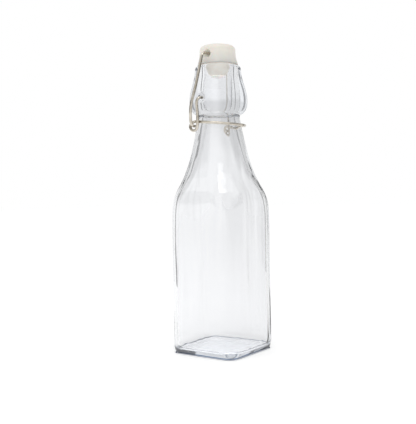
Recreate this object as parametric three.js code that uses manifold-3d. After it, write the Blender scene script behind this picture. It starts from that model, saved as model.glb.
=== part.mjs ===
// A square 250 ml glass bottle with a wire bail closure (swing stopper).
// Millimetres, +Z up. The origin is the centre of the base, on the surface the bottle stands on.
// The panels face along X and Y. The lever turns in two dimples on the Y axis, and its handle
// lies round the +X side of the neck.
import * as THREE from "three";
import { mergeVertices } from "three/addons/utils/BufferGeometryUtils.js";
import Module from "manifold-3d";

// Glass body
const HALF_SIDE = 26.75;
const CORNER_RADIUS = 13.6;
const HEEL_HEIGHT = 8;
const HEEL_INSET = 1.8;
const BASE_CORNER_RADIUS = 6;
const SHOULDER_Z = 84;
const SHOULDER_FULLNESS = 29;
const NECK_FLARE = 9;
const NECK_FLARE_DROP = 55;
const NECK_Z = 151;
const NECK_RADIUS = 13.8;
const BULGE_Z = 162;
const BULGE_RADIUS = 19;
const LIP_Z = 184.7;
const LIP_RADIUS = 15;
const LIP_ROUND = 1.2;
const WALL = 2.8;
const FLOOR_Z = 4;
const FLOOR_EDGE_Z = 3.4;
const PUSH_UP = 0.8;
const BASE_RING = 8;
const BASE_RING_SLOPE = 3;
const BORE_RADIUS = 8.8;
const NECK_BORE_RADIUS = 9.6;
const AROUND = 40;

// Closure
const WIRE_RADIUS = 1;
const PIVOT_Z = 163;
const DIMPLE_RADIUS = 1.6;
const DIMPLE_DEPTH = 2.4;
const EYE_X = -5;
const EYE_Z = 145.2;
const EYE_RADIUS = 3;
const EYE_TWIST = 0.4;
const EYE_Y = 19.9;
const PIN_Z = 192;
const PIN_HALF = 16.4;
const HANDLE_X = 17.2;
const CAP_TOP_Z = 198.3;
const CAP_ROUND = 2.6;
const CAP_BOTTOM_Z = 185.7;
const CAP_RADIUS = 11.6;
const SKIRT_RADIUS = 13.2;
const STEM_RADIUS = 3.6;
const FUNNEL_RADIUS = 3;
const FUNNEL_DEPTH = 4;
const GASKET_RADIUS = 11;
const GASKET_Z = 185.3;
const GASKET_TOP_Z = 187.2;
const PLUG_RADIUS = 8;
const PLUG_TIP_RADIUS = 5.9;
const PLUG_TIP_Z = 177.1;
const BUTTON_RADIUS = 4.6;
const BUTTON_HEIGHT = 2.2;
const CLEARANCE = 0.3;

const wasm = await Module();
wasm.setup();

const v2 = (x, y) => new THREE.Vector2(x, y);
const v3 = (x, y, z) => new THREE.Vector3(x, y, z);

function toSolid(geometry) {
  const bare = geometry.clone();
  bare.deleteAttribute("normal");
  bare.deleteAttribute("uv");
  const merged = mergeVertices(bare, 1e-4);
  return new wasm.Manifold(
    new wasm.Mesh({
      numProp: 3,
      vertProperties: new Float32Array(merged.attributes.position.array),
      triVerts: new Uint32Array(merged.index.array),
    }),
  );
}

function toGeometry(solid) {
  const mesh = solid.getMesh();
  const geometry = new THREE.BufferGeometry();
  geometry.setAttribute("position", new THREE.BufferAttribute(mesh.vertProperties, 3));
  geometry.setIndex(new THREE.BufferAttribute(mesh.triVerts, 1));
  geometry.computeVertexNormals();
  return geometry;
}

// A lathe about Z: profile points hold (radius, height).
function turned(profile, around) {
  return new THREE.LatheGeometry(profile, around).rotateX(Math.PI / 2);
}

function quarterRound(centreX, centreZ, radius, fromAngle, toAngle, steps) {
  return Array.from({ length: steps + 1 }, (_, i) => {
    const angle = fromAngle + ((toAngle - fromAngle) * i) / steps;
    return v2(centreX + radius * Math.cos(angle), centreZ + radius * Math.sin(angle));
  });
}

// Radius across the corners of a square with rounded corners, and the half side that gives it.
const cornerwiseOf = (half, corner) => half + (half - corner) * (Math.SQRT2 - 1);
const halfOf = (cornerwise, corner) => (cornerwise + corner * (Math.SQRT2 - 1)) / Math.SQRT2;
const CORNERWISE = cornerwiseOf(HALF_SIDE, CORNER_RADIUS);

// How square the section is at a height: 0 is a circle and 1 a sharp square. The base is the squarest.
const BODY_SQUARENESS = 1 - CORNER_RADIUS / HALF_SIDE;
const BASE_SQUARENESS = 1 - BASE_CORNER_RADIUS / halfOf(CORNERWISE - HEEL_INSET, BASE_CORNER_RADIUS);
function squareness(z) {
  if (z < HEEL_HEIGHT) {
    const rise = THREE.MathUtils.smoothstep(z, 0, HEEL_HEIGHT);
    return THREE.MathUtils.lerp(BASE_SQUARENESS, BODY_SQUARENESS, rise);
  }
  return BODY_SQUARENESS * (1 - THREE.MathUtils.smoothstep(z, SHOULDER_Z, NECK_Z - 6));
}

// Distance from the axis to a rounded square, whose corner to corner radius is given.
function sectionRadius(cornerwise, square, angle) {
  const half = cornerwise / (1 + (Math.SQRT2 - 1) * square);
  const corner = half * (1 - square);
  const inset = half - corner;
  const turn = Math.abs(((angle + Math.PI * 2.25) % (Math.PI / 2)) - Math.PI / 4);
  if (half * Math.tan(turn) <= inset) return half / Math.cos(turn);
  const along = inset * (Math.cos(turn) + Math.sin(turn));
  return along + Math.sqrt(along * along - 2 * inset * inset + corner * corner);
}

// Turns a profile whose radii are measured across the corners, then squares its sections.
function squareTurned(profile) {
  const geometry = turned(profile, AROUND);
  const position = geometry.attributes.position;
  for (let i = 0; i < position.count; i++) {
    const [x, y, z] = [position.getX(i), position.getY(i), position.getZ(i)];
    const cornerwise = Math.hypot(x, y);
    if (cornerwise < 1e-6) continue;
    const angle = Math.atan2(y, x);
    const radius = sectionRadius(cornerwise, squareness(z), angle);
    position.setXYZ(i, radius * Math.cos(angle), radius * Math.sin(angle), z);
  }
  return geometry;
}

// The shoulder is one smooth curve from the body's corners to the neck, inset by the wall inside.
function shoulder(inset, neckRadius, steps) {
  const curve = new THREE.CubicBezierCurve(
    v2(CORNERWISE - inset, SHOULDER_Z),
    v2(CORNERWISE - inset, SHOULDER_Z + SHOULDER_FULLNESS),
    v2(NECK_RADIUS + NECK_FLARE - inset, NECK_Z - NECK_FLARE_DROP),
    v2(neckRadius, NECK_Z),
  );
  return curve.getPoints(steps);
}

// The thick ring that carries the dimples: it swells out from the neck and tapers up to the lip.
function bulge() {
  const start = NECK_Z + 2.4;
  const under = new THREE.QuadraticBezierCurve(
    v2(NECK_RADIUS + 0.7, start),
    v2(BULGE_RADIUS, start + 2),
    v2(BULGE_RADIUS, BULGE_Z),
  );
  const taper = new THREE.CubicBezierCurve(
    v2(BULGE_RADIUS, BULGE_Z),
    v2(BULGE_RADIUS, BULGE_Z + 7),
    v2(LIP_RADIUS + 0.6, BULGE_Z + 13),
    v2(LIP_RADIUS, LIP_Z - 3),
  );
  return [...under.getPoints(5), ...taper.getPoints(6).slice(1)];
}

function bottleGeometry() {
  const ring = CORNERWISE - HEEL_INSET - BASE_RING;
  const outside = [
    v2(0, PUSH_UP),
    v2(ring, PUSH_UP * 0.75),
    v2(ring + BASE_RING_SLOPE, 0),
    v2(CORNERWISE - HEEL_INSET, 0),
    v2(CORNERWISE - HEEL_INSET * 0.5, HEEL_HEIGHT * 0.1),
    v2(CORNERWISE - HEEL_INSET * 0.3, HEEL_HEIGHT * 0.25),
    v2(CORNERWISE - HEEL_INSET * 0.1, HEEL_HEIGHT * 0.5),
    v2(CORNERWISE, HEEL_HEIGHT),
    ...shoulder(0, NECK_RADIUS, 14),
    ...bulge(),
    ...quarterRound(LIP_RADIUS - LIP_ROUND, LIP_Z - LIP_ROUND, LIP_ROUND, 0, Math.PI / 2, 3),
    v2(0, LIP_Z),
  ];
  const room = CORNERWISE - WALL;
  const inside = [
    v2(0, FLOOR_Z),
    v2(room * 0.6, FLOOR_Z - 0.3),
    v2(room - 3, FLOOR_EDGE_Z),
    v2(room - 0.8, FLOOR_EDGE_Z + 1),
    v2(room, FLOOR_EDGE_Z + 3.4),
    ...shoulder(WALL, NECK_BORE_RADIUS, 12),
    v2(NECK_BORE_RADIUS, BULGE_Z),
    v2(BORE_RADIUS, LIP_Z - 8),
    v2(BORE_RADIUS, LIP_Z - 1),
    v2(BORE_RADIUS + 0.8, LIP_Z + 1),
    v2(0, LIP_Z + 1),
  ];
  let solid = toSolid(squareTurned(outside)).subtract(toSolid(squareTurned(inside)));
  for (const side of [-1, 1]) {
    const dimple = new THREE.CylinderGeometry(DIMPLE_RADIUS, DIMPLE_RADIUS, DIMPLE_DEPTH * 2, 12);
    dimple.translate(0, side * BULGE_RADIUS, PIVOT_Z);
    solid = solid.subtract(toSolid(dimple));
  }
  return toGeometry(solid);
}

// The cap, its stem and the button that keeps the gasket on. The hole for the bail widens at both ends.
function capGeometry() {
  const profile = [
    v2(0, PLUG_TIP_Z - BUTTON_HEIGHT),
    v2(BUTTON_RADIUS - 1.2, PLUG_TIP_Z - BUTTON_HEIGHT + 0.3),
    v2(BUTTON_RADIUS, PLUG_TIP_Z - CLEARANCE),
    v2(STEM_RADIUS, PLUG_TIP_Z - CLEARANCE),
    v2(STEM_RADIUS, GASKET_TOP_Z + CLEARANCE),
    v2(GASKET_RADIUS + CLEARANCE, GASKET_TOP_Z + CLEARANCE),
    v2(GASKET_RADIUS + CLEARANCE, CAP_BOTTOM_Z),
    v2(SKIRT_RADIUS, CAP_BOTTOM_Z),
    v2(SKIRT_RADIUS - 0.7, CAP_BOTTOM_Z + 3),
    v2(CAP_RADIUS + 0.3, CAP_BOTTOM_Z + 5),
    ...quarterRound(CAP_RADIUS - CAP_ROUND, CAP_TOP_Z - CAP_ROUND, CAP_ROUND, 0, Math.PI / 2, 4),
    v2(0, CAP_TOP_Z),
  ];
  const hole = new THREE.CylinderGeometry(WIRE_RADIUS + CLEARANCE, WIRE_RADIUS + CLEARANCE, 40, 16);
  let cap = toSolid(turned(profile, 32)).subtract(toSolid(hole.translate(0, 0, PIN_Z)));
  for (const side of [-1, 1]) {
    const widening = new THREE.CylinderGeometry(FUNNEL_RADIUS, WIRE_RADIUS + CLEARANCE, FUNNEL_DEPTH, 16);
    if (side < 0) widening.rotateX(Math.PI);
    widening.translate(0, side * (CAP_RADIUS + 0.5 - FUNNEL_DEPTH / 2), PIN_Z);
    cap = cap.subtract(toSolid(widening));
  }
  return toGeometry(cap);
}

function gasketGeometry() {
  const inner = STEM_RADIUS + CLEARANCE;
  const profile = [
    v2(inner, PLUG_TIP_Z),
    v2(PLUG_TIP_RADIUS - 0.6, PLUG_TIP_Z),
    v2(PLUG_TIP_RADIUS, PLUG_TIP_Z + 0.8),
    v2(PLUG_RADIUS, GASKET_Z - 0.8),
    v2(PLUG_RADIUS + 0.4, GASKET_Z),
    v2(GASKET_RADIUS, GASKET_Z),
    v2(GASKET_RADIUS, GASKET_TOP_Z),
    v2(inner, GASKET_TOP_Z),
    v2(inner, PLUG_TIP_Z),
  ];
  return turned(profile, 28);
}

// A round wire swept along a curve, with flat ends.
function wireGeometry(curve, steps) {
  const sides = 8;
  const section = new THREE.Shape(
    Array.from({ length: sides }, (_, i) => {
      const angle = (i / sides) * 2 * Math.PI;
      return v2(WIRE_RADIUS * Math.cos(angle), WIRE_RADIUS * Math.sin(angle));
    }),
  );
  return new THREE.ExtrudeGeometry(section, { steps, bevelEnabled: false, extrudePath: curve });
}

// A wire half from its middle plane to its end, made whole by its mirror image in the plane y = 0.
function mirroredCurve(half) {
  const other = half.map((p) => v3(p.x, -p.y, p.z)).reverse();
  const joined = [...other, ...half.filter((p) => Math.abs(p.y) > 1e-6)];
  return new THREE.CatmullRomCurve3(joined, false, "centripetal");
}

// Lever wire: handle round the neck, one coiled eye on each side, then up to the dimple.
function leverGeometry() {
  // Each eye is three quarters of a turn, twisted a little about the vertical towards the handle.
  const eyeTurns = Array.from({ length: 8 }, (_, i) => {
    const angle = Math.PI / 2 + (i / 7) * 1.5 * Math.PI;
    const across = EYE_RADIUS * Math.cos(angle);
    const y = EYE_Y - 1.5 + (i / 7) * 3 - across * Math.sin(EYE_TWIST);
    return v3(EYE_X + across * Math.cos(EYE_TWIST), y, EYE_Z + EYE_RADIUS * Math.sin(angle));
  });
  const half = [
    v3(HANDLE_X, 0, EYE_Z + 0.6),
    v3(HANDLE_X - 0.9, 5, EYE_Z + 0.7),
    v3(HANDLE_X - 4, 10.6, EYE_Z + 1),
    v3(HANDLE_X - 9.6, 15, EYE_Z + 1.7),
    v3(0.6, 17.5, EYE_Z + 2.3),
    ...eyeTurns,
    v3(EYE_X + EYE_RADIUS + 0.2, EYE_Y + 0.7, EYE_Z + 8),
    v3(-1.9, EYE_Y + 1.1, PIVOT_Z - 5),
    v3(-1.7, EYE_Y + 1.4, PIVOT_Z - 2.6),
    v3(-1, EYE_Y + 1.1, PIVOT_Z - 0.8),
    v3(-0.2, EYE_Y, PIVOT_Z),
    v3(0, EYE_Y - 1.2, PIVOT_Z),
    v3(0, BULGE_RADIUS - DIMPLE_DEPTH + 0.5, PIVOT_Z),
  ];
  return wireGeometry(mirroredCurve(half), 110);
}

// Bail wire: through the cap, down both sides past the bulge, and a hook through each eye.
function bailGeometry() {
  const half = [
    v3(0, 0, PIN_Z),
    v3(0, PIN_HALF - 2, PIN_Z),
    v3(0, PIN_HALF - 0.3, PIN_Z - 0.3),
    v3(-0.1, PIN_HALF + 0.5, PIN_Z - 2),
    v3(-2, 21.7, 170),
    v3(-4, 24.3, 158),
    v3(-4.7, 24, 150),
    v3(EYE_X, 23.1, EYE_Z + 1.2),
    v3(EYE_X, EYE_Y + 1.7, EYE_Z),
    v3(EYE_X, EYE_Y - 3, EYE_Z),
  ];
  return wireGeometry(mirroredCurve(half), 90);
}

function addPart(group, name, geometry, color, roughness, metalness, extra = {}) {
  const material = new THREE.MeshStandardMaterial({ color, roughness, metalness, ...extra });
  const mesh = new THREE.Mesh(geometry, material);
  mesh.name = name;
  group.add(mesh);
}

const bottle = new THREE.Group();
addPart(bottle, "glass_bottle", bottleGeometry(), 0xe8eef2, 0.05, 0, { transparent: true, opacity: 0.4 });
addPart(bottle, "stopper_cap", capGeometry(), 0xf4f1ea, 0.4, 0);
addPart(bottle, "gasket", gasketGeometry(), 0xb9a88f, 0.7, 0);
addPart(bottle, "bail_wire", bailGeometry(), 0xb8b6b2, 0.25, 1);
addPart(bottle, "lever_wire", leverGeometry(), 0xb8b6b2, 0.25, 1);

export default bottle;
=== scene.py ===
"""The looks of a square glass swing-top bottle, in metres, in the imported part's own frame."""

import math

import bmesh
import bpy
from mathutils import Matrix, Vector, noise

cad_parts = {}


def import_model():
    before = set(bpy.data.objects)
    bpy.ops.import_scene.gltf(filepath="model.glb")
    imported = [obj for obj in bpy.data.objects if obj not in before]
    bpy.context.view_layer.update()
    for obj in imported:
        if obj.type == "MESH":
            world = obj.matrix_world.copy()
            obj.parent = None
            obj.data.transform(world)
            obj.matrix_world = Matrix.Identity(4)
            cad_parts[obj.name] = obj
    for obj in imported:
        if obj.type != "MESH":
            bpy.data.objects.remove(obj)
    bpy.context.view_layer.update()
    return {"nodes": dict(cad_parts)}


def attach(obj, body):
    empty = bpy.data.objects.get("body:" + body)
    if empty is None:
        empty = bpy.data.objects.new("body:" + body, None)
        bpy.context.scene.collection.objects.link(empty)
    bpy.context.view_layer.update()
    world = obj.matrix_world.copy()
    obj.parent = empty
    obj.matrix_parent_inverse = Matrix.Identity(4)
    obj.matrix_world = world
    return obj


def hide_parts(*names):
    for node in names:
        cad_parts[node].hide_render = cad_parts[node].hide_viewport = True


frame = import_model()
MM = 0.001

# The camera stands level with the middle of the bottle, off its +X -Y corner.
CAMERA_AZIMUTH = math.radians(35.5)
CAMERA_DISTANCE = 0.450
CAMERA_HEIGHT = 0.100
CAMERA_ROLL = math.radians(1.1)
LENS = 58.4
SHIFT = (-0.029, -0.036)

# Glass, in millimetres: radii are measured across the corners where the section is square.
HALF_SIDE = 26.75
CORNER_RADIUS = 13.6
CORNERWISE = HALF_SIDE + (HALF_SIDE - CORNER_RADIUS) * (math.sqrt(2) - 1)
BODY_SQUARENESS = 1 - CORNER_RADIUS / HALF_SIDE
HEEL_HEIGHT = 8
HEEL_INSET = 1.8
BASE_EDGE = CORNERWISE - HEEL_INSET
BASE_CORNER_RADIUS = 6
BASE_HALF_SIDE = (BASE_EDGE + BASE_CORNER_RADIUS * (math.sqrt(2) - 1)) / math.sqrt(2)
BASE_SQUARENESS = 1 - BASE_CORNER_RADIUS / BASE_HALF_SIDE
PUSH_UP = 0.8
SHOULDER_Z = 84
SHOULDER_FULLNESS = 29
NECK_FLARE = 9
NECK_FLARE_DROP = 55
NECK_Z = 151
NECK_RADIUS = 13.8
NECK_BORE_RADIUS = 9.6
ROUND_BELOW_NECK = 6
BULGE_Z = 162
BULGE_RADIUS = 18.95
LIP_Z = 184.7
LIP_RADIUS = 15
LIP_ROUND = 1.4
BORE_RADIUS = 8.8
MOUTH_ROUND = 1.2
MOUTH_DEPTH = 9
WALL = 2.8
FLOOR_Z = 4
FLOOR_EDGE_Z = 3.4
DIMPLE_Z = 163
DIMPLE_RADIUS = 2.8
DIMPLE_DEPTH = 2.3
DIMPLE_FULLNESS = 0.8
GLASS_SEGMENTS = 192
ROW_STEP = 8
# How far the inside of the glass wanders from its true shape, and how fast it does per millimetre.
INNER_WAVE = 0.35
WAVE_ACROSS, WAVE_ALONG = 0.09, 0.035
INNER_STREAK = 0.1
STREAK_ACROSS, STREAK_ALONG = 0.3, 0.02
STREAK_SHIFT = 9

# Closure, in millimetres.
CAP_TOP_Z = 198.3
CAP_BOTTOM_Z = 185.7
CAP_RADIUS = 11.6
CAP_ROUND = 2.7
CAP_SIDE_Z = 192
SKIRT_RADIUS = 13.2
RECESS_RADIUS = 11.3
STEM_RADIUS = 3.6
BUTTON_Z = 174.9
BUTTON_RADIUS = 4.6
PIN_Z = 192
PIN_HOLE_RADIUS = 1.35
PIN_HOLE_LENGTH = 40
FUNNEL_RADIUS = 3
FUNNEL_DEPTH = 4
FUNNEL_Y = 10.2
GASKET_RADIUS = 11
GASKET_Z = 185.3
GASKET_TOP_Z = 187.2
GASKET_HOLE_RADIUS = 3.9
PLUG_RADIUS = 8
PLUG_TIP_Z = 177.1
STOPPER_SEGMENTS = 96
DRILL_SEGMENTS = 32
SHARP_EDGE = math.radians(40)
WIRE_ROUNDING = 2

# Where the stopper's plastic turns paler: up the cap's side, out of painted shade low on the cap, and down
# to the button, which is painted light.
CAP_SHADE_Z = (186.5, 193.5)
BUTTON_LIGHT_Z = (178, 180)

# Glows that stand for light scattered inside the cap, the gasket, thick glass and the base.
RUBBER_GLOW = 0.4
CAP_GLOW = 0.28
THICK_GLASS_GLOW = 2.8
STIPPLED_GLOW = 0.25
UNDER_GLOW = 0.55

# The lowest faces are stippled glass where they point down, and on the heel a dark blue tint, a painted
# shade for the line where the glass meets the table.
CLEAR_TINT = (0.965, 0.968, 0.975, 1)
HEEL_SHADE_TINT = (0.20, 0.27, 0.42, 1)
HEEL_LINE_HEIGHT = 1.1
UNDERSIDE_NORMAL = -0.97

# The room light, and the glow that keeps the floor as pale as the backdrop.
WORLD_LIGHT = 0.97
FLOOR_GLOW = 0.56
# How much paler the room and the floor are on the left than on the right, seen through the glass.
# The room changes over a span of directions, and the floor over a span in metres.
ROOM_LEFT, ROOM_RIGHT = 1.05, 0.90
ROOM_TURN = (-0.08, 0.1)
FLOOR_LEFT, FLOOR_RIGHT = 0.53, 0.42
FLOOR_TURN = (-0.05, 0.07)
# How much darker the room is higher up, and the span of upward directions over which it gets there.
ROOM_HIGH = 0.78
ROOM_RISE = (0.09, 0.16)

# The stage: the floor's half width in metres, and the rest in millimetres. The dark ring, a painted
# contact shadow, starts and ends this far past the edge of the base.
FLOOR_HALF = 6
FLOOR_LEVEL = -0.1
SHADE_LEVEL = -0.05
SHADE_INNER, SHADE_OUTER = 0.1, 1.0


# ---------------------------------------------------------------- small helpers


def new_object(name, mesh, body, node):
    piece = bpy.data.objects.new(name, mesh)
    bpy.context.scene.collection.objects.link(piece)
    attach(piece, body)
    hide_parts(node)
    return piece


def mesh_from(name, bm):
    mesh = bpy.data.meshes.new(name)
    bm.to_mesh(mesh)
    bm.free()
    return mesh


def staged(name, mesh):
    """Puts a mesh in the scene as part of the stage round the bottle."""
    made = bpy.data.objects.new(name, mesh)
    bpy.context.scene.collection.objects.link(made)
    return made


def smooth(mesh):
    for face in mesh.polygons:
        face.use_smooth = True


def bezier(points, steps, skip_first=False):
    """Points along a Bezier curve of any degree."""
    made = []
    for i in range(1 if skip_first else 0, steps + 1):
        t = i / steps
        level = [Vector(p) for p in points]
        while len(level) > 1:
            level = [a.lerp(b, t) for a, b in zip(level, level[1:])]
        made.append(tuple(level[0]))
    return made


def arc(centre, radius, start, stop, steps):
    """Points (radius, height) on an arc, its angles in degrees."""
    made = []
    for i in range(steps + 1):
        angle = math.radians(start + (stop - start) * i / steps)
        made.append((centre[0] + radius * math.cos(angle), centre[1] + radius * math.sin(angle)))
    return made


def round_place(radius, angle, z, row):
    return (radius * math.cos(angle), radius * math.sin(angle), z)


def turned_mesh(name, profile, segments, place=round_place):
    """Turns a profile of (radius, height) round Z. It may start or end on the axis, or close on itself."""
    bm = bmesh.new()
    rows = []
    for row, (radius, z) in enumerate(profile):
        if radius < 1e-6:
            rows.append([bm.verts.new(Vector((0, 0, z)) * MM)])
            continue
        ring = []
        for i in range(segments):
            angle = 2 * math.pi * i / segments
            ring.append(bm.verts.new(Vector(place(radius, angle, z, row)) * MM))
        rows.append(ring)
    for low, high in zip(rows, rows[1:]):
        for i in range(segments):
            j = (i + 1) % segments
            corners = [low[i % len(low)], low[j % len(low)], high[j % len(high)], high[i % len(high)]]
            bm.faces.new(list(dict.fromkeys(corners)))
    bmesh.ops.remove_doubles(bm, verts=bm.verts, dist=1e-7)
    bmesh.ops.recalc_face_normals(bm, faces=bm.faces)
    mesh = mesh_from(name, bm)
    smooth(mesh)
    return mesh


# ---------------------------------------------------------------- materials


class Tree:
    """A node tree, with short calls to add and join nodes."""

    def __init__(self, tree):
        self.tree = tree

    def add(self, kind, **inputs):
        node = self.tree.nodes.new(kind)
        for key, value in inputs.items():
            node.inputs[key.replace("_", " ")].default_value = value
        return node

    def join(self, source, target):
        self.tree.links.new(source, target)

    def remap(self, source, span, to=(0, 1), curve="LINEAR"):
        made = self.add("ShaderNodeMapRange", From_Min=span[0], From_Max=span[1], To_Min=to[0], To_Max=to[1])
        made.interpolation_type = curve
        self.join(source, made.inputs["Value"])
        return made.outputs["Result"]

    def across(self, source):
        """How far a place or direction lies to the right, seen from the camera's side."""
        dot = self.add("ShaderNodeVectorMath")
        dot.operation = "DOT_PRODUCT"
        dot.inputs[1].default_value = (math.cos(CAMERA_AZIMUTH), math.sin(CAMERA_AZIMUTH), 0)
        self.join(source, dot.inputs[0])
        return dot.outputs["Value"]

    def height(self, source):
        split = self.add("ShaderNodeSeparateXYZ")
        self.join(source, split.inputs["Vector"])
        return split.outputs["Z"]


class Material(Tree):
    """A material's node tree, with its Principled shader."""

    def __init__(self, name):
        self.material = bpy.data.materials.new(name)
        self.material.use_nodes = True
        super().__init__(self.material.node_tree)
        self.bsdf = self.tree.nodes["Principled BSDF"]
        self.output = self.tree.nodes["Material Output"]

    def set(self, **inputs):
        for key, value in inputs.items():
            self.bsdf.inputs[key.replace("_", " ")].default_value = value

    def place(self):
        return self.add("ShaderNodeTexCoord").outputs["Object"]

    def noise(self, scale, detail=3, stretch=(1, 1, 1)):
        mapping = self.add("ShaderNodeMapping", Scale=stretch)
        texture = self.add("ShaderNodeTexNoise", Scale=scale, Detail=detail)
        self.join(self.place(), mapping.inputs["Vector"])
        self.join(mapping.outputs["Vector"], texture.inputs["Vector"])
        return texture.outputs["Fac"]

    def ramp(self, source, low, high, start=0.3, stop=0.7):
        ramp = self.add("ShaderNodeValToRGB")
        ramp.color_ramp.elements[0].position = start
        ramp.color_ramp.elements[1].position = stop
        ramp.color_ramp.elements[0].color = low
        ramp.color_ramp.elements[1].color = high
        self.join(source, ramp.inputs["Fac"])
        return ramp.outputs["Color"]

    def mix(self, factor, low, high):
        mixed = self.add("ShaderNodeMixRGB", Color1=low)
        self.join(factor, mixed.inputs["Fac"])
        self.join(high, mixed.inputs["Color2"])
        return mixed.outputs["Color"]

    def multiply(self, one, other):
        made = self.add("ShaderNodeVectorMath")
        made.operation = "MULTIPLY"
        self.join(one, made.inputs[0])
        self.join(other, made.inputs[1])
        return made.outputs["Vector"]

    def bump(self, source, strength, distance):
        bump = self.add("ShaderNodeBump", Strength=strength, Distance=distance)
        self.join(source, bump.inputs["Height"])
        self.join(bump.outputs["Normal"], self.bsdf.inputs["Normal"])


def grey(value):
    return (value, value, value, 1)


def glass_material(name, roughness, glow, tint=CLEAR_TINT):
    """Glass that takes up a little light in its thickness and gives back a painted blue-grey glow, with a
    painted glow on its faces as well.
    """
    made = Material(name)
    made.set(Base_Color=tint, Roughness=roughness, IOR=1.5, Transmission_Weight=1.0)
    # Painted light: a pale blue glow on the faces, used on the stippled underside.
    made.set(Emission_Color=(0.94, 0.96, 1.0, 1), Emission_Strength=glow)
    made.bump(made.noise(38, detail=4, stretch=(1, 1, 0.5)), 0.16, 0.0006)
    taken = made.add("ShaderNodeVolumeAbsorption", Color=(0.60, 0.635, 0.68, 1), Density=15.0)
    # Painted light: the thickness of the glass glows blue-grey.
    painted_glow = made.add("ShaderNodeEmission", Color=(0.72, 0.745, 0.81, 1), Strength=THICK_GLASS_GLOW)
    both = made.add("ShaderNodeAddShader")
    made.join(taken.outputs["Volume"], both.inputs[0])
    made.join(painted_glow.outputs["Emission"], both.inputs[1])
    made.join(both.outputs["Shader"], made.output.inputs["Volume"])
    return made.material


def plastic_material():
    made = Material("stopper_plastic")
    made.set(Subsurface_Weight=0.25, Subsurface_Scale=0.004, Coat_Weight=0.15, Coat_Roughness=0.2)
    height = made.height(made.place())
    # Painted shade: the cap is darker low on its side. Painted light: the button under the plug is near
    # white, and the cap glows.
    painted_shade_rise = made.remap(height, [z * MM for z in CAP_SHADE_Z])
    cap = made.ramp(painted_shade_rise, (0.50, 0.495, 0.465, 1), (0.66, 0.64, 0.58, 1), start=0, stop=1)
    body = made.mix(made.remap(height, [z * MM for z in BUTTON_LIGHT_Z]), (0.95, 0.94, 0.92, 1), cap)
    tint = made.multiply(body, made.ramp(made.noise(120), grey(0.93), grey(1)))
    made.join(tint, made.bsdf.inputs["Base Color"])
    made.join(tint, made.bsdf.inputs["Emission Color"])
    made.set(Emission_Strength=CAP_GLOW)
    rough = made.ramp(made.noise(600), grey(0.32), grey(0.45))
    made.join(rough, made.bsdf.inputs["Roughness"])
    made.bump(made.noise(900, detail=5), 0.15, 0.0001)
    return made.material


def rubber_material():
    made = Material("gasket_rubber")
    tint = made.ramp(made.noise(260, detail=5), (0.74, 0.70, 0.63, 1), (0.84, 0.81, 0.74, 1))
    made.join(tint, made.bsdf.inputs["Base Color"])
    made.join(tint, made.bsdf.inputs["Emission Color"])
    made.set(Roughness=0.62, Emission_Strength=RUBBER_GLOW)
    made.bump(made.noise(1500, detail=6), 0.3, 0.0001)
    return made.material


def wire_material():
    made = Material("plated_wire")
    tint = made.ramp(made.noise(240, detail=6), (0.50, 0.455, 0.38, 1), (0.76, 0.71, 0.63, 1))
    made.join(tint, made.bsdf.inputs["Base Color"])
    rough = made.ramp(made.noise(700, detail=4), grey(0.08), grey(0.18))
    made.join(rough, made.bsdf.inputs["Roughness"])
    made.set(Metallic=1.0)
    made.bump(made.noise(1400, detail=4, stretch=(1, 1, 0.3)), 0.12, 0.0001)
    return made.material


def floor_material():
    made = Material("pale_floor")
    made.join(made.ramp(made.noise(6), grey(0.59), grey(0.61)), made.bsdf.inputs["Base Color"])
    made.set(Roughness=0.9, Specular_IOR_Level=0.1, Emission_Color=grey(1))
    seen = made.add("ShaderNodeMix")
    made.join(made.add("ShaderNodeLightPath").outputs["Is Camera Ray"], seen.inputs[0])
    shade = made.remap(made.across(made.place()), FLOOR_TURN, (FLOOR_LEFT, FLOOR_RIGHT))
    made.join(shade, seen.inputs[2])
    seen.inputs[3].default_value = FLOOR_GLOW
    made.join(seen.outputs[0], made.bsdf.inputs["Emission Strength"])
    return made.material


# ---------------------------------------------------------------- glass bottle


def ease(t):
    """Goes smoothly from 0 to 1 as t does."""
    t = min(1, max(0, t))
    return t * t * (3 - 2 * t)


def squareness(z):
    """0 where the section is round, the body's value below the shoulder, and squarest at the base."""
    if z < HEEL_HEIGHT:
        return BASE_SQUARENESS + (BODY_SQUARENESS - BASE_SQUARENESS) * ease(z / HEEL_HEIGHT)
    return BODY_SQUARENESS * (1 - ease((z - SHOULDER_Z) / (NECK_Z - ROUND_BELOW_NECK - SHOULDER_Z)))


def section_radius(cornerwise, square, angle):
    """Distance from the axis to a rounded square of the given radius across its corners."""
    half = cornerwise / (1 + (math.sqrt(2) - 1) * square)
    corner = half * (1 - square)
    inset = half - corner
    turn = abs((angle + math.pi / 4) % (math.pi / 2) - math.pi / 4)
    if half * math.tan(turn) <= inset:
        return half / math.cos(turn)
    along = inset * (math.cos(turn) + math.sin(turn))
    return along + math.sqrt(max(0, along * along - 2 * inset * inset + corner * corner))


def shoulder_profile(inset, neck_radius, steps):
    controls = [
        (CORNERWISE - inset, SHOULDER_Z),
        (CORNERWISE - inset, SHOULDER_Z + SHOULDER_FULLNESS),
        (NECK_RADIUS + NECK_FLARE - inset, NECK_Z - NECK_FLARE_DROP),
        (neck_radius, NECK_Z),
    ]
    return bezier(controls, steps)


def underside_profile():
    """From the middle of the push-up out to the ring that the bottle stands on."""
    rise = [(0, PUSH_UP), (10, 0.78), (18, 0.7), (22, 0.5), (24, 0.2), (25, 0.03)]
    return rise + [(26, 0), (BASE_EDGE - 0.4, 0)]


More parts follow.
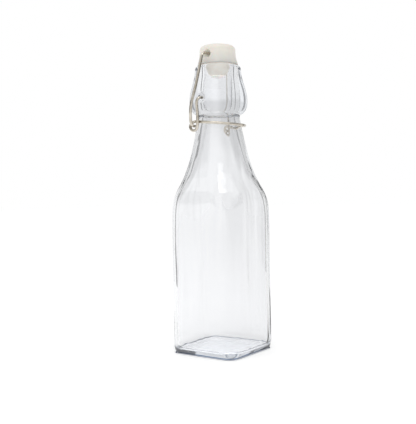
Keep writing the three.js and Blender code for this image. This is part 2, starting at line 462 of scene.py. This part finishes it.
def outer_profile():
    heel_controls = [
        (BASE_EDGE - 0.4, 0),
        (BASE_EDGE + 0.5, 0),
        (BASE_EDGE + 1.3, 1.6),
        (CORNERWISE, 5),
        (CORNERWISE, HEEL_HEIGHT),
    ]
    heel = bezier(heel_controls, 14, skip_first=True)
    straight = [(CORNERWISE, z) for z in range(2 * ROW_STEP, SHOULDER_Z, ROW_STEP)]
    bulge_foot = (NECK_RADIUS + 0.7, NECK_Z + 2.4)
    groove_controls = [(NECK_RADIUS, NECK_Z), (NECK_RADIUS - 0.05, NECK_Z + 2), bulge_foot]
    groove = bezier(groove_controls, 4, skip_first=True)
    under_controls = [bulge_foot, (BULGE_RADIUS, NECK_Z + 4.4), (BULGE_RADIUS, BULGE_Z)]
    under = bezier(under_controls, 14, skip_first=True)
    taper_controls = [
        (BULGE_RADIUS, BULGE_Z),
        (BULGE_RADIUS, BULGE_Z + 7),
        (LIP_RADIUS + 0.6, BULGE_Z + 13),
        (LIP_RADIUS, LIP_Z - 3),
    ]
    taper = bezier(taper_controls, 22, skip_first=True)
    lip = arc((LIP_RADIUS - LIP_ROUND, LIP_Z - LIP_ROUND), LIP_ROUND, 0, 90, 8)
    shoulder = shoulder_profile(0, NECK_RADIUS, 44)
    return underside_profile() + heel + straight + shoulder + groove + under + taper + lip


def inner_profile():
    mouth = arc((BORE_RADIUS + MOUTH_ROUND, LIP_Z - MOUTH_ROUND), MOUTH_ROUND, 90, 180, 6)
    bore = [(BORE_RADIUS, LIP_Z - 4), (BORE_RADIUS, LIP_Z - 8), (9.1, 172), (9.5, 167)]
    bore += [(NECK_BORE_RADIUS, z) for z in (BULGE_Z, 159, 156, 153.5)]
    shoulder = list(reversed(shoulder_profile(WALL, NECK_BORE_RADIUS, 40)))
    inner = CORNERWISE - WALL
    straight = [(inner, z) for z in range(SHOULDER_Z - 4, FLOOR_Z + ROW_STEP, -ROW_STEP)]
    floor_controls = [
        (inner, HEEL_HEIGHT),
        (inner, FLOOR_EDGE_Z + 1),
        (inner - 0.4, FLOOR_EDGE_Z),
        (inner - 3, FLOOR_EDGE_Z - 0.05),
        (inner - 9, FLOOR_EDGE_Z + 0.2),
    ]
    return mouth + bore + shoulder + straight + bezier(floor_controls, 16) + [(10, 3.95), (0, FLOOR_Z)]


def glass_point(radius, angle, z, inside):
    """Where a glass vertex goes: the section squared, the inside a little uneven, the dimples sunk."""
    r = section_radius(radius, squareness(z), angle)
    x, y = r * math.cos(angle), r * math.sin(angle)
    if inside and z < LIP_Z - MOUTH_DEPTH:
        wave = Vector((x * WAVE_ACROSS, y * WAVE_ACROSS, z * WAVE_ALONG))
        streak = Vector((x * STREAK_ACROSS, y * STREAK_ACROSS, z * STREAK_ALONG + STREAK_SHIFT))
        r += INNER_WAVE * noise.noise(wave) + INNER_STREAK * noise.noise(streak)
        x, y = r * math.cos(angle), r * math.sin(angle)
    away = math.hypot(x, z - DIMPLE_Z)
    if not inside and away < DIMPLE_RADIUS and abs(y) > LIP_RADIUS:
        sink = DIMPLE_DEPTH * (1 - (away / DIMPLE_RADIUS) ** 2) ** DIMPLE_FULLNESS
        y -= math.copysign(sink, y)
    return (x, y, z)


def glass_bottle():
    outside, inside = outer_profile(), inner_profile()

    def place(radius, angle, z, row):
        return glass_point(radius, angle, z, row >= len(outside))

    mesh = turned_mesh("glass_bottle_fine", outside + inside, GLASS_SEGMENTS, place)
    mesh.materials.append(glass_material("clear_glass", 0.0, 0))
    mesh.materials.append(glass_material("stippled_glass", 0.5, STIPPLED_GLOW))
    # Painted shade: the heel's dark blue tint draws the shaded line where the glass stands on the table.
    mesh.materials.append(glass_material("heel_glass_painted_shade", 0.1, 0, HEEL_SHADE_TINT))
    for face in mesh.polygons:
        if face.center.z < HEEL_LINE_HEIGHT * MM:
            face.material_index = 1 if face.normal.z < UNDERSIDE_NORMAL else 2
    new_object("bottle_glass", mesh, "bottle", "glass_bottle")


# ---------------------------------------------------------------- stopper


def stopper():
    """The cap with its recess for the gasket, the stem, and the button under the plug."""
    button_controls = [
        (0, BUTTON_Z),
        (STEM_RADIUS, BUTTON_Z),
        (BUTTON_RADIUS + 0.2, BUTTON_Z + 0.9),
        (BUTTON_RADIUS, BUTTON_Z + 1.8),
    ]
    button = bezier(button_controls, 8) + [(STEM_RADIUS, BUTTON_Z + 1.9)]
    recess_z = GASKET_TOP_Z + 0.3
    recess = [(STEM_RADIUS, recess_z), (RECESS_RADIUS, recess_z), (RECESS_RADIUS, CAP_BOTTOM_Z + 0.3)]
    rim = [
        (RECESS_RADIUS + 0.2, CAP_BOTTOM_Z + 0.05),
        (SKIRT_RADIUS - 0.3, CAP_BOTTOM_Z),
        (SKIRT_RADIUS - 0.05, CAP_BOTTOM_Z + 0.15),
    ]
    skirt_controls = [
        (SKIRT_RADIUS, CAP_BOTTOM_Z + 0.4),
        (SKIRT_RADIUS - 0.5, CAP_BOTTOM_Z + 2.6),
        (CAP_RADIUS + 0.4, CAP_BOTTOM_Z + 4.2),
        (CAP_RADIUS + 0.25, CAP_SIDE_Z),
    ]
    side = bezier(skirt_controls, 10) + [(CAP_RADIUS + 0.1, CAP_SIDE_Z + 2)]
    top = arc((CAP_RADIUS - CAP_ROUND, CAP_TOP_Z - CAP_ROUND), CAP_ROUND, 0, 90, 12) + [(0, CAP_TOP_Z)]
    mesh = turned_mesh("stopper_cap_fine", button + recess + rim + side + top, STOPPER_SEGMENTS)
    mesh.materials.append(plastic_material())
    cap = new_object("stopper_cap_body", mesh, "stopper", "stopper_cap")
    cut_pin_hole(cap)


def cut_pin_hole(cap):
    """Drills the cross hole that the bail runs through, with a funnel at each end."""
    drill_round(cap, 0, 1, PIN_HOLE_RADIUS, PIN_HOLE_LENGTH)
    for side in (-1, 1):
        drill_round(cap, side * FUNNEL_Y, side, FUNNEL_RADIUS, FUNNEL_DEPTH)
    smooth(cap.data)
    cap.data.set_sharp_from_angle(angle=SHARP_EDGE)


def drill_round(cap, y, side, wide_radius, length):
    """Cuts a drill centred at y out of the cap; it narrows to the hole's radius toward the middle."""
    bm = bmesh.new()
    turn = Matrix.Rotation(side * math.pi / 2, 4, "X")
    bmesh.ops.create_cone(
        bm,
        cap_ends=True,
        segments=DRILL_SEGMENTS,
        radius1=wide_radius * MM,
        radius2=PIN_HOLE_RADIUS * MM,
        depth=length * MM,
        matrix=Matrix.Translation((0, y * MM, PIN_Z * MM)) @ turn,
    )
    drill = bpy.data.objects.new("pin_hole", mesh_from("pin_hole", bm))
    bpy.context.scene.collection.objects.link(drill)
    cut = cap.modifiers.new("pin_hole", "BOOLEAN")
    cut.operation = "DIFFERENCE"
    cut.solver = "EXACT"
    cut.object = drill
    graph = bpy.context.evaluated_depsgraph_get()
    made = bpy.data.meshes.new_from_object(cap.evaluated_get(graph))
    cap.modifiers.remove(cut)
    cap.data = made
    bpy.data.objects.remove(drill)


def gasket():
    """The flat ring under the cap, with the tapered plug that goes into the mouth."""
    plug_controls = [
        (GASKET_HOLE_RADIUS, PLUG_TIP_Z),
        (5.4, PLUG_TIP_Z),
        (6.0, PLUG_TIP_Z + 0.2),
        (6.2, PLUG_TIP_Z + 1.7),
        (PLUG_RADIUS - 0.1, GASKET_Z - 1.2),
        (PLUG_RADIUS, GASKET_Z - 0.3),
    ]
    flange = [
        (PLUG_RADIUS + 0.4, GASKET_Z),
        (GASKET_RADIUS - 0.4, GASKET_Z),
        (GASKET_RADIUS - 0.05, GASKET_Z + 0.2),
        (GASKET_RADIUS, GASKET_Z + 0.5),
        (GASKET_RADIUS, GASKET_TOP_Z - 0.3),
        (GASKET_RADIUS - 0.3, GASKET_TOP_Z),
        (GASKET_HOLE_RADIUS, GASKET_TOP_Z),
    ]
    profile = bezier(plug_controls, 14) + flange + [(GASKET_HOLE_RADIUS, PLUG_TIP_Z)]
    mesh = turned_mesh("gasket_fine", profile, STOPPER_SEGMENTS)
    mesh.materials.append(rubber_material())
    new_object("gasket_ring", mesh, "stopper", "gasket")


# ---------------------------------------------------------------- wires


def fine_wire(name, node, body, material):
    """The CAD wire's faceted tube, made round by subdivision."""
    bm = bmesh.new()
    bm.from_mesh(frame["nodes"][node].data)
    bmesh.ops.remove_doubles(bm, verts=bm.verts, dist=1e-6)
    bmesh.ops.join_triangles(
        bm,
        faces=bm.faces,
        angle_face_threshold=math.radians(25),
        angle_shape_threshold=math.radians(60),
    )
    mesh = frame["nodes"][node].data.copy()
    mesh.name = name
    bm.to_mesh(mesh)
    bm.free()
    smooth(mesh)
    mesh.materials.clear()
    mesh.materials.append(material)
    piece = new_object(name, mesh, body, node)
    level = piece.modifiers.new("round", "SUBSURF")
    level.levels = WIRE_ROUNDING
    level.render_levels = WIRE_ROUNDING


# ---------------------------------------------------------------- studio


def toward(turn, distance, height):
    """A place at an angle in degrees round the bottle, counted from the camera's own direction."""
    angle = CAMERA_AZIMUTH + math.radians(turn)
    return Vector((math.sin(angle) * distance, -math.cos(angle) * distance, height))


def facing(place, target):
    """The turn that points a light or a card from its place at a target."""
    return (Vector(target) - Vector(place)).to_track_quat("-Z", "Y")


def world():
    """A plain white backdrop for the camera, and a room that is uneven for everything else."""
    made = bpy.data.worlds.new("studio")
    bpy.context.scene.world = made
    made.use_nodes = True
    nodes = Tree(made.node_tree)
    light = made.node_tree.nodes["Background"]
    light.inputs["Strength"].default_value = WORLD_LIGHT
    direction = nodes.add("ShaderNodeTexCoord").outputs["Generated"]
    sides = nodes.remap(nodes.across(direction), ROOM_TURN, (ROOM_LEFT, ROOM_RIGHT), "SMOOTHSTEP")
    higher = nodes.remap(nodes.height(direction), ROOM_RISE, (1, ROOM_HIGH))
    both = nodes.add("ShaderNodeMath")
    both.operation = "MULTIPLY"
    nodes.join(sides, both.inputs[0])
    nodes.join(higher, both.inputs[1])
    nodes.join(both.outputs["Value"], light.inputs["Color"])
    backdrop = nodes.add("ShaderNodeBackground", Color=grey(1))
    mix = nodes.add("ShaderNodeMixShader")
    nodes.join(nodes.add("ShaderNodeLightPath").outputs["Is Camera Ray"], mix.inputs["Fac"])
    nodes.join(light.outputs["Background"], mix.inputs[1])
    nodes.join(backdrop.outputs["Background"], mix.inputs[2])
    nodes.join(mix.outputs["Shader"], made.node_tree.nodes["World Output"].inputs["Surface"])


def area_light(name, place, target, size, power):
    data = bpy.data.lights.new(name, "AREA")
    data.shape = "RECTANGLE"
    data.size, data.size_y = size
    data.energy = power
    light = bpy.data.objects.new(name, data)
    light.location = place
    light.rotation_euler = facing(place, target).to_euler()
    bpy.context.scene.collection.objects.link(light)


def studio_card(name, turn, distance, height, size, value):
    """A grey card beside the bottle, which shows only in the glass and the wire."""
    bm = bmesh.new()
    bmesh.ops.create_grid(bm, x_segments=8, y_segments=8, size=0.5)
    bmesh.ops.scale(bm, vec=(size[0], size[1], 1), verts=bm.verts)
    mesh = mesh_from(name, bm)
    paint = Material(name)
    paint.join(paint.ramp(paint.noise(5), grey(value * 0.9), grey(value)), paint.bsdf.inputs["Base Color"])
    paint.set(Roughness=1.0)
    mesh.materials.append(paint.material)
    card = staged(name, mesh)
    card.location = toward(turn, distance, height)
    card.rotation_euler = facing(card.location, (0, 0, height)).to_euler()
    card.visible_camera = False
    card.visible_shadow = False
    card.visible_diffuse = False


def floor():
    bm = bmesh.new()
    bmesh.ops.create_grid(bm, x_segments=4, y_segments=4, size=FLOOR_HALF)
    mesh = mesh_from("floor", bm)
    mesh.materials.append(floor_material())
    staged("floor", mesh).location.z = FLOOR_LEVEL * MM


def contact_shade():
    """A painted contact shadow: a dark ring under the heel where the glass stands, round a plate of painted
    light, paler and glowing, under the base.
    """
    bm = bmesh.new()
    inner, outer = [], []
    for ring, beyond in ((inner, SHADE_INNER), (outer, SHADE_OUTER)):
        for i in range(GLASS_SEGMENTS):
            angle = 2 * math.pi * i / GLASS_SEGMENTS
            r = section_radius(BASE_EDGE + beyond, BASE_SQUARENESS, angle)
            ring.append(bm.verts.new(Vector((r * math.cos(angle), r * math.sin(angle), SHADE_LEVEL)) * MM))
    for i in range(GLASS_SEGMENTS):
        j = (i + 1) % GLASS_SEGMENTS
        bm.faces.new((inner[i], outer[i], outer[j], inner[j]))
    bm.faces.new(inner).material_index = 1
    mesh = mesh_from("contact_shade", bm)
    dark = Material("contact_shade")
    # Painted shadow: the navy ring where the heel meets the table.
    navy = dark.ramp(dark.noise(60), (0.02, 0.035, 0.08, 1), (0.05, 0.07, 0.13, 1))
    dark.join(navy, dark.bsdf.inputs["Base Color"])
    dark.set(Roughness=0.9)
    mesh.materials.append(dark.material)
    # Painted light: the plate under the base glows to lift the shade under the bottle.
    pale = Material("painted_light_under_base")
    pale.join(pale.ramp(pale.noise(40), grey(0.70), grey(0.76)), pale.bsdf.inputs["Base Color"])
    pale.set(Roughness=0.9, Emission_Color=grey(1), Emission_Strength=UNDER_GLOW)
    mesh.materials.append(pale.material)
    staged("contact_shade", mesh)


def camera():
    data = bpy.data.cameras.new("camera")
    data.lens = LENS
    data.shift_x, data.shift_y = SHIFT
    data.clip_start, data.clip_end = 0.01, 50
    made = bpy.data.objects.new("camera", data)
    made.location = toward(0, CAMERA_DISTANCE, CAMERA_HEIGHT)
    level = facing(made.location, (0, 0, CAMERA_HEIGHT)).to_matrix().to_4x4()
    made.rotation_euler = (level @ Matrix.Rotation(-CAMERA_ROLL, 4, "Z")).to_euler()
    bpy.context.scene.collection.objects.link(made)
    bpy.context.scene.camera = made


def studio():
    world()
    floor()
    contact_shade()
    area_light("top_softbox", toward(20, 0.25, 0.9), (0, 0, 0.05), size=(0.8, 0.8), power=1.3)
    area_light("window", toward(-6, 0.45, 0.7), (0, 0, 0.09), size=(0.4, 0.15), power=0.45)
    for name, side in (("right", 1), ("left", -1)):
        studio_card("wire_card_" + name, side * 72, distance=0.5, height=0.28, size=(0.5, 0.22), value=0.05)
        studio_card("card_" + name, side * 128, distance=0.4, height=0.14, size=(0.08, 0.5), value=0.35)
    bpy.context.scene.view_settings.view_transform = "Standard"


# ---------------------------------------------------------------- the scene

camera()
glass_bottle()
stopper()
gasket()
wire = wire_material()
fine_wire("bail_wire_round", "bail_wire", "bail", wire)
fine_wire("lever_wire_round", "lever_wire", "lever", wire)
studio()
